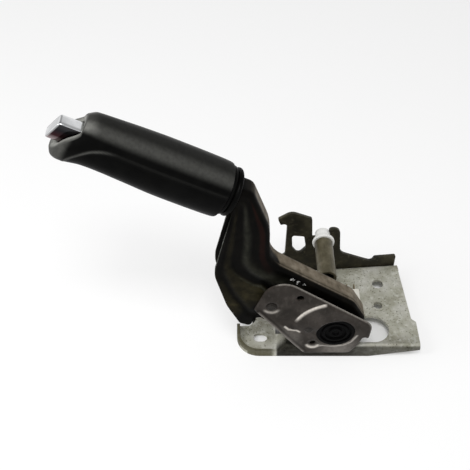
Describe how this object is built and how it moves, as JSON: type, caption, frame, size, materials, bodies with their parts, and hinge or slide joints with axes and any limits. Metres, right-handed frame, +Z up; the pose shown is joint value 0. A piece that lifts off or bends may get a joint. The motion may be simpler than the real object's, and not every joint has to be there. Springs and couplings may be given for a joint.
{
  "type": "parking brake lever",
  "caption": "Hand parking brake lever: padded grip with a chrome release button on a pressed S-shaped arm that turns on a galvanised floor bracket with cable hook and cross tube.",
  "frame": {"origin": "middle of the footprint's box, on the ground that the bracket stands on", "axes": "+X along the longest side, to the rear of the bracket, so the grip points to -X; +Y away from the side plate, towards the cable bracket; +Z up"},
  "size_m": [0.2672, 0.0974, 0.2282],
  "materials": {
    "galvanised_sheet": "galvanised, mottled and a little stained",
    "side_plate_steel": "dark phosphated pressing with worn bright edges",
    "olive_steel": "dark olive coating",
    "tube_steel": "olive-tan coating",
    "white_nylon": "moulded nylon",
    "black_plastic": "moulded, satin",
    "plain_steel": "plain turned steel",
    "hardened_steel": "dark hardened steel",
    "cream_plastic": "moulded, cream",
    "brass_blade": "stamped blade",
    "spring_steel": "drawn wire",
    "black_paint": "black paint, satin",
    "grip_vinyl": "soft moulded grip, satin",
    "chrome_button": "bright chrome"
  },
  "bodies": {
    "base": {"base_plate": "galvanised_sheet", "near_side_plate": "side_plate_steel", "cable_bracket": "olive_steel", "cross_tube": "tube_steel", "tube_collar": "white_nylon", "pivot_bush": "black_plastic", "pivot_pin": "plain_steel", "pivot_washer": "plain_steel", "ratchet_sector": "hardened_steel", "guide_pad": "white_nylon", "pad_rivets": "plain_steel", "switch_housing": "cream_plastic", "switch_terminals": "brass_blade", "switch_spring": "spring_steel"},
    "lever": {"lever_arm": "black_paint", "grip": "grip_vinyl", "grip_collar": "grip_vinyl", "rod_guide": "white_nylon", "pawl_pin": "plain_steel", "cable_pin": "plain_steel", "button_spring": "spring_steel"},
    "button": {"release_button": "chrome_button", "release_rod": "plain_steel"},
    "pawl": {"pawl": "hardened_steel"},
    "plunger": {"switch_plunger": "white_nylon"}
  },
  "joints": [
    {"name": "lever_pivot", "type": "hinge", "parent": "base", "child": "lever", "pos_m": [0.06313, -0.02968, 0.0335], "axis": [0, 1, 0], "range_deg": [0, 40]},
    {"name": "button_slide", "type": "slide", "parent": "lever", "child": "button", "axis": [0.8949, 0, -0.4462], "range_m": [-0.0025, 0.004], "stiffness_N_per_m": 1500, "springref_m": -0.004, "deforming": ["button_spring"]},
    {"name": "pawl_pivot", "type": "hinge", "parent": "lever", "child": "pawl", "pos_m": [0.00613, -0.02968, 0.0695], "axis": [0, 1, 0], "range_deg": [-5.4, 8.6]},
    {"name": "plunger_slide", "type": "slide", "parent": "base", "child": "plunger", "axis": [-1, 0, 0], "range_m": [0, 0.003], "deforming": ["switch_spring"]}
  ],
  "couplings": [
    {"joint": "pawl_pivot", "follows": "button_slide", "rad_per_m": 37.46},
    {"joint": "plunger_slide", "follows": "lever_pivot", "m_per_rad": 0.00429}
  ]
}
